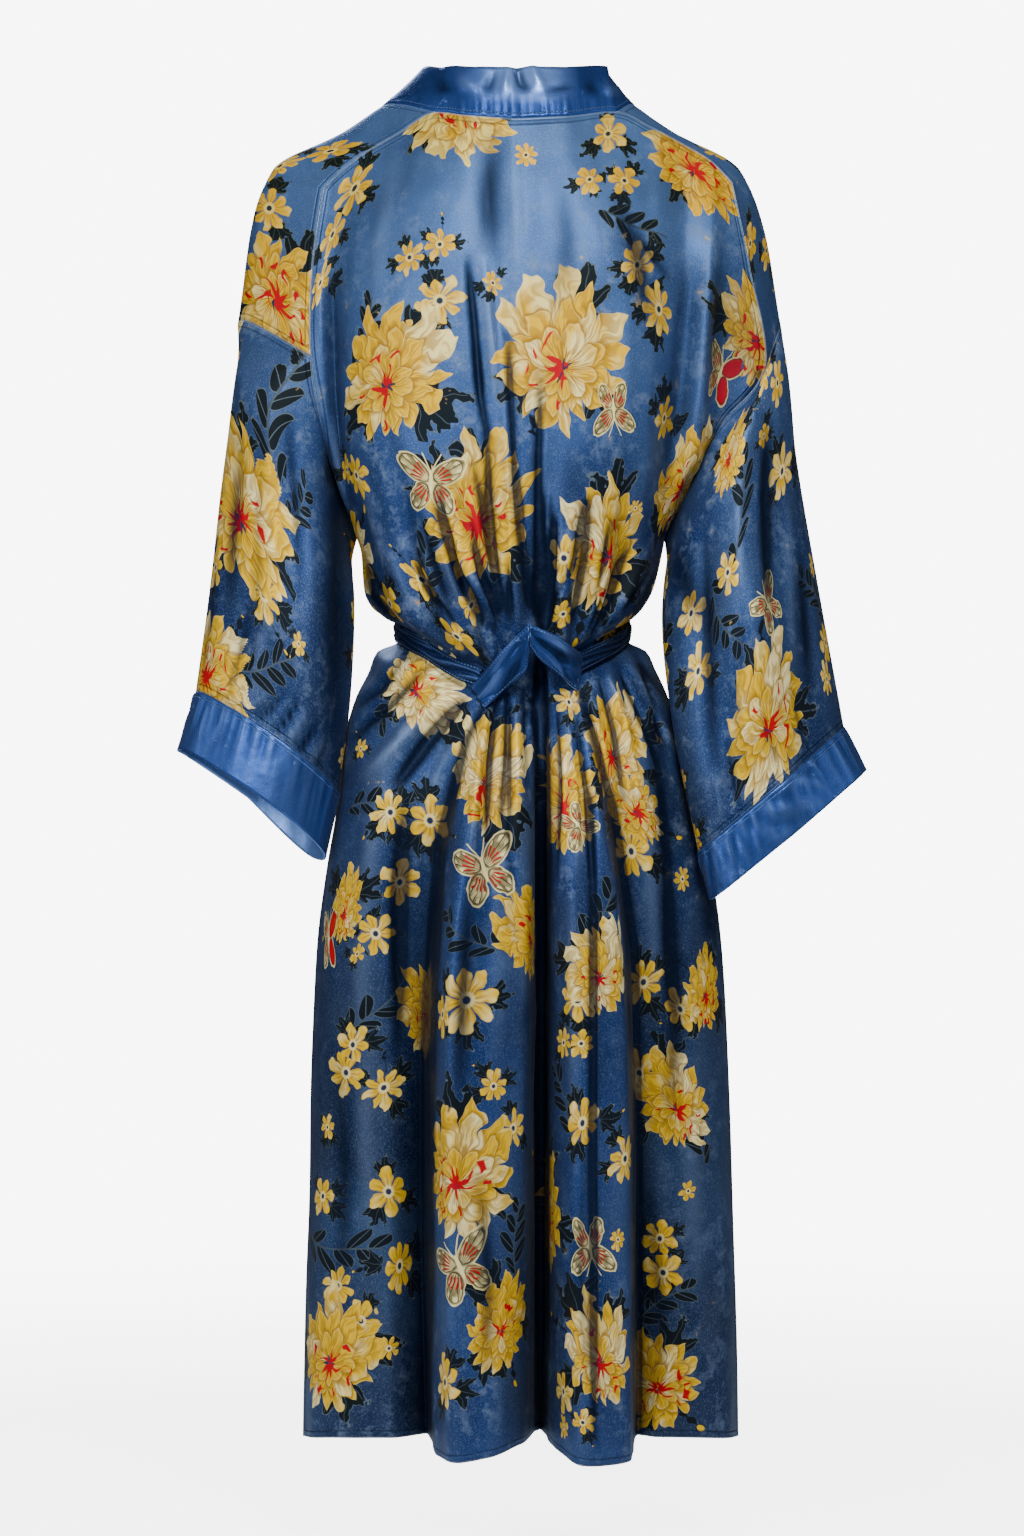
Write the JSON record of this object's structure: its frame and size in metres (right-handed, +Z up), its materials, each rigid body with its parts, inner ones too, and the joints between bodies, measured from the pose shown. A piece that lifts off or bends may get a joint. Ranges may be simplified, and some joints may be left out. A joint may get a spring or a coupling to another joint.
{
  "type": "kimono robe",
  "caption": "Knee-length satin kimono robe, hollow as worn, with a collar band, wide sleeves with plain cuffs and a narrow belt tied at the back.",
  "frame": {"origin": "middle of the neck where the collar band meets the shoulders, where the wearer's shoulders carry the robe", "axes": "+Z up, the wearer faces -Y, so the back of the robe faces +Y, and the wearer's left is +X"},
  "size_m": [0.6023, 0.2993, 1.2062],
  "materials": {
    "printed_satin": "blue satin with a print of yellow and cream flowers, dark leaves and butterflies",
    "plain_satin": "plain royal blue satin"
  },
  "bodies": {
    "root": {"back_panel": "printed_satin", "front_left": "printed_satin", "front_right": "printed_satin", "sleeve_left": "printed_satin", "sleeve_right": "printed_satin", "cuff_left": "plain_satin", "cuff_right": "plain_satin", "collar_band": "plain_satin", "belt": "plain_satin", "tie_left": "plain_satin", "tie_right": "plain_satin"}
  },
  "joints": []
}
